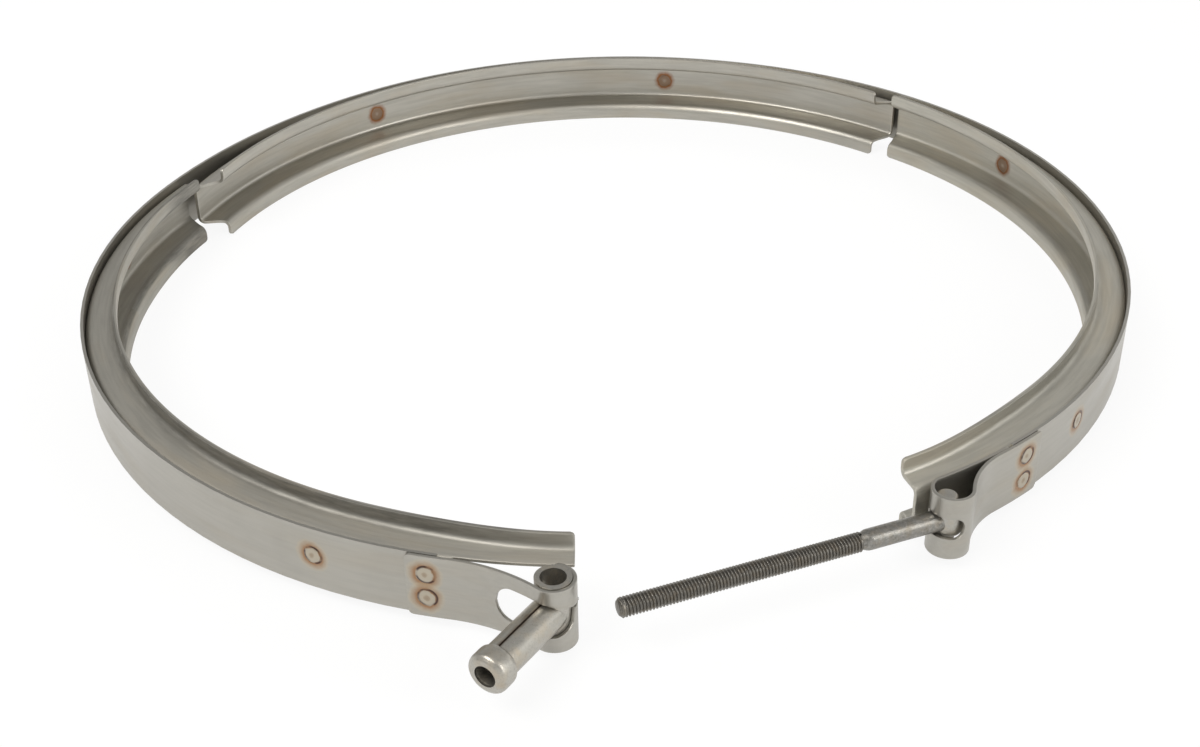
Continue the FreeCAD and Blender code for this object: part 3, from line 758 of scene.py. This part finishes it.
def collar_roll(material):
    """The collar is a closed ring, so its outline ends where it began."""
    collar = turned(COLLAR + COLLAR[:1], 64)
    bmesh.ops.recalc_face_normals(collar, faces=collar.faces)
    lie_along(collar, "trunnion_swing", "trunnion_bore")
    made_piece("trunnion_collar_roll", collar, material, "trunnion")


trunnion_steel = formed_steel("trunnion_steel", (0.43, 0.414, 0.375), 0.34, 200.0)
seam_stain(trunnion_steel)
dress("trunnion", trunnion_steel.material)
stem_lap(trunnion_steel.material)
collar_roll(trunnion_steel.material)


# ------------------------------------------------------------------ T-bolt
HEAD_BODY = 4.5
HEAD_BODY_HALF = 4.7
HEAD_BODY_PULL = 0.6
HEAD_RADIUS = 3.3
HEAD_HALF = 8.9
HEAD_PULL = 1.85
SHANK_RADIUS = 3.15
THREAD_START = 29.2
THREAD_END = 104.2
CREST = 2.95
ROOT = 2.36
PITCH = 1.0
TURN_STEPS = 20

SPECKLE_LIGHT = (0.46, 0.445, 0.41)
SPECKLE_DARK = (0.10, 0.094, 0.082)


def speckled(steel):
    """Fine bright and dark flecks over the steel."""
    speckle = steel.noise(steel.place, 1100.0, 3.0, 0.6)
    steel.tint(steel.ramp(speckle, [(0.52, 0.0), (0.66, 0.30)]), SPECKLE_LIGHT)
    steel.tint(steel.ramp(speckle, [(0.32, 0.50), (0.42, 0.0)]), SPECKLE_DARK)
    steel.relief(speckle, 0.14, 0.0001)


bolt_steel = formed_steel("bolt_steel", (0.25, 0.243, 0.225), 0.34, 420.0)
speckled(bolt_steel)
head_steel = formed_steel("head_steel", (0.42, 0.405, 0.37), 0.34, 260.0)
thread_steel = formed_steel("thread_steel", (0.20, 0.19, 0.172), 0.36, 500.0)


def bolt_piece(name, shape, steel, replaced=None):
    """Lays a shape down the bolt and makes it a piece of the T-bolt."""
    lie_along(shape, "t_bolt_swing", "bolt_thread")
    made_piece(name, shape, steel.material, "t_bolt", replaced)


# The turns, in radians, at which a rounded rim is drawn.
RIM_TURNS = (0.0, 0.3, 0.6, 0.9, 1.2, math.pi / 2.0)


def cross_bar(name, radius, half, rounding, pull, replaced=None):
    """An upright bar of the T head with rounded ends, pulled towards the shank."""
    outline = [(-half, 0.0)]
    for turn in RIM_TURNS:
        along = rounding * (1.0 - math.cos(turn)) - half
        outline.append((along, radius - rounding + rounding * math.sin(turn)))
    outline += [(0.0, radius)] + [(-x, reach) for x, reach in reversed(outline)]
    bar = turned(outline, 64)
    upright = Matrix.Rotation(math.pi / 2.0, 3, "Y")
    bmesh.ops.rotate(bar, cent=(0, 0, 0), matrix=upright, verts=bar.verts)
    bmesh.ops.translate(bar, vec=(pull * MM, 0, 0), verts=bar.verts)
    bolt_piece(name, bar, head_steel, replaced)


cross_bar("t_bolt_head", HEAD_RADIUS, HEAD_HALF, 1.3, HEAD_PULL, "t_bolt")
cross_bar("t_bolt_boss", HEAD_BODY, HEAD_BODY_HALF, 2.2, HEAD_BODY_PULL)

# The shank is flared a little where it leaves the head, and runs out before the first thread.
SHANK_OUTLINE = [
    (2.0, 0.0), (2.0, 3.1), (4.6, 3.3), (5.4, 3.25), (6.4, SHANK_RADIUS + 0.05),
    (8.0, SHANK_RADIUS), (16.0, SHANK_RADIUS - 0.02), (26.6, SHANK_RADIUS),
    (27.6, SHANK_RADIUS - 0.05), (28.3, 2.9), (THREAD_START, 2.5),
    (THREAD_START + 0.6, ROOT), (THREAD_START + 0.6, 0.0),
]
bolt_piece("t_bolt_shank", turned(SHANK_OUTLINE, 48), bolt_steel)

# One pitch of the rolled thread: (share of the pitch, radius).
THREAD_SECTION = [
    (0.0, ROOT), (0.10, ROOT), (0.42, CREST - 0.03), (0.50, CREST),
    (0.58, CREST - 0.03), (0.90, ROOT), (1.0, ROOT),
]
THREAD_RUN_OUT = 1.2


def rolled_thread():
    """One pitch of the thread's section, swept down the bolt in a helix."""
    thread = bmesh.new()
    turns = int(round((THREAD_END - THREAD_START - THREAD_RUN_OUT) / PITCH))
    points = []
    for share, radius in THREAD_SECTION:
        points.append(thread.verts.new(((THREAD_START + share * PITCH) * MM, 0.0, radius * MM)))
    edges = [thread.edges.new(pair) for pair in zip(points, points[1:])]
    bmesh.ops.spin(
        thread, geom=points + edges, cent=(0, 0, 0), axis=(1, 0, 0),
        dvec=(PITCH * MM / TURN_STEPS, 0, 0), angle=2 * math.pi * turns, steps=TURN_STEPS * turns,
    )
    bmesh.ops.remove_doubles(thread, verts=thread.verts, dist=1e-6)
    return thread


bolt_piece("t_bolt_thread", rolled_thread(), thread_steel)

# The core ends in the chamfered point at the bolt's free end.
CORE_OUTLINE = [
    (THREAD_START - 0.5, 0.0), (THREAD_START - 0.4, ROOT - 0.08), (THREAD_END - 1.8, ROOT - 0.02),
    (THREAD_END - 1.7, CREST - 0.25), (THREAD_END - 0.9, CREST - 0.1), (THREAD_END - 0.1, ROOT - 0.2),
    (THREAD_END, ROOT - 0.5), (THREAD_END, 0.0),
]
bolt_piece("t_bolt_point", turned(CORE_OUTLINE, 40), thread_steel)


# ------------------------------------------------------------------ stage, light and camera
FLOOR_GLOW = 0.90
FLOOR_IN_METAL = 0.65
FLOOR_DROP = 0.2 * MM


def glow_share(tree):
    """How much of the floor is plain white: all for the camera, less in what the steel mirrors."""
    path = tree.nodes.new("ShaderNodeLightPath")

    def joined(operation, first, second):
        made = tree.nodes.new("ShaderNodeMath")
        made.operation = operation
        for socket, value in zip(made.inputs, (first, second)):
            if isinstance(value, float):
                socket.default_value = value
            else:
                tree.links.new(value, socket)
        return made.outputs[0]

    mirrored = joined("MULTIPLY", path.outputs["Is Glossy Ray"], FLOOR_IN_METAL)
    seen = joined("MAXIMUM", path.outputs["Is Camera Ray"], mirrored)
    seen = joined("MAXIMUM", seen, path.outputs["Is Transmission Ray"])
    return joined("MULTIPLY", seen, FLOOR_GLOW)


def stage_plane():
    """A plain pale floor just under the object."""
    shape = bmesh.new()
    bmesh.ops.create_grid(shape, x_segments=1, y_segments=1, size=8.0)
    bmesh.ops.translate(shape, vec=(0, 0, cad_box[0][2] - FLOOR_DROP), verts=shape.verts)
    mesh = bpy.data.meshes.new("floor")
    shape.to_mesh(mesh)
    shape.free()
    floor = bpy.data.objects.new("floor", mesh)
    bpy.context.scene.collection.objects.link(floor)
    material = bpy.data.materials.new("pale_floor")
    material.use_nodes = True
    tree = material.node_tree
    tree.nodes.clear()
    out = tree.nodes.new("ShaderNodeOutputMaterial")
    paper = tree.nodes.new("ShaderNodeBsdfDiffuse")
    paper.inputs["Color"].default_value = (0.90, 0.90, 0.89, 1.0)
    glow = tree.nodes.new("ShaderNodeEmission")
    glow.inputs["Strength"].default_value = 1.0
    mix = tree.nodes.new("ShaderNodeMixShader")
    tree.links.new(glow_share(tree), mix.inputs[0])
    tree.links.new(paper.outputs[0], mix.inputs[1])
    tree.links.new(glow.outputs[0], mix.inputs[2])
    tree.links.new(mix.outputs[0], out.inputs[0])
    mesh.materials.append(material)


# The room's brightness between level with the object (0) and straight overhead (1).
ROOM_LEVELS = ((0.30, 0.78), (0.55, 0.30), (0.80, 0.42))


def studio_world():
    """White behind the object; a dimmer room overhead and in front, as a studio has."""
    world = bpy.data.worlds.new("studio")
    bpy.context.scene.world = world
    world.use_nodes = True
    tree = world.node_tree
    tree.nodes.clear()
    out = tree.nodes.new("ShaderNodeOutputWorld")
    path = tree.nodes.new("ShaderNodeLightPath")
    room = tree.nodes.new("ShaderNodeBackground")
    white = tree.nodes.new("ShaderNodeBackground")
    white.inputs["Color"].default_value = (1, 1, 1, 1)
    white.inputs["Strength"].default_value = 1.0
    coords = tree.nodes.new("ShaderNodeTexCoord")
    split = tree.nodes.new("ShaderNodeSeparateXYZ")
    height = tree.nodes.new("ShaderNodeValToRGB")
    stops = height.color_ramp.elements
    stops[0].position, stops[0].color = 0.0, (0.95, 0.95, 0.94, 1)
    stops[1].position, stops[1].color = 1.0, (0.62, 0.61, 0.60, 1)
    for place, level in ROOM_LEVELS:
        stop = stops.new(place)
        stop.color = (level, level, level * 0.985, 1)
    # The room is brighter on the right.
    side = tree.nodes.new("ShaderNodeMath")
    side.operation = "MULTIPLY_ADD"
    side.inputs[1].default_value = 0.45
    side.inputs[2].default_value = 1.06
    mix = tree.nodes.new("ShaderNodeMixShader")
    links = tree.links
    links.new(coords.outputs["Generated"], split.inputs[0])
    links.new(split.outputs[2], height.inputs[0])
    links.new(split.outputs[0], side.inputs[0])
    links.new(side.outputs[0], room.inputs["Strength"])
    links.new(height.outputs[0], room.inputs["Color"])
    links.new(path.outputs["Is Camera Ray"], mix.inputs[0])
    links.new(room.outputs[0], mix.inputs[1])
    links.new(white.outputs[0], mix.inputs[2])
    links.new(mix.outputs[0], out.inputs[0])


LIGHT_COLOUR = (1.0, 0.985, 0.96)


def soft_light(name, place, size, power, glossy=True):
    """A large lamp aimed at the object's middle."""
    lamp = bpy.data.lights.new(name, "AREA")
    lamp.shape = "RECTANGLE"
    lamp.size, lamp.size_y = size
    lamp.energy = power
    lamp.color = LIGHT_COLOUR
    light = bpy.data.objects.new(name, lamp)
    light.location = place
    light.visible_glossy = glossy
    light.rotation_euler = (Vector((0, 0, 0)) - Vector(place)).to_track_quat("-Z", "Y").to_euler()
    bpy.context.scene.collection.objects.link(light)


stage_plane()
studio_world()
soft_light("key_light", (-0.9, -0.7, 1.5), (1.2, 0.8), 22.0)
soft_light("fill_light", (1.3, -0.8, 0.9), (0.8, 0.8), 8.0)
soft_light("back_light", (0.1, 1.4, 1.2), (1.6, 0.5), 8.0, glossy=False)

CAMERA_PLACE = (-0.0079, -0.5476, 0.2940)
CAMERA_RIGHT = (0.99989, -0.00787, -0.01253)
CAMERA_UP = (0.0148, 0.53171, 0.84678)


def front_camera():
    """A camera in front of the latch and above it, turned by its own right and up."""
    lens = bpy.data.cameras.new("camera")
    lens.sensor_width = 36.0
    lens.sensor_fit = "HORIZONTAL"
    lens.lens = 50.24
    lens.shift_x = 0.0004
    lens.clip_start = 0.01
    camera = bpy.data.objects.new("camera", lens)
    right = Vector(CAMERA_RIGHT)
    up = Vector(CAMERA_UP)
    aim = Matrix((right, up, right.cross(up))).transposed().to_4x4()
    camera.matrix_world = Matrix.Translation(CAMERA_PLACE) @ aim
    bpy.context.scene.collection.objects.link(camera)
    bpy.context.scene.camera = camera


front_camera()

bpy.context.scene.view_settings.view_transform = "Standard"
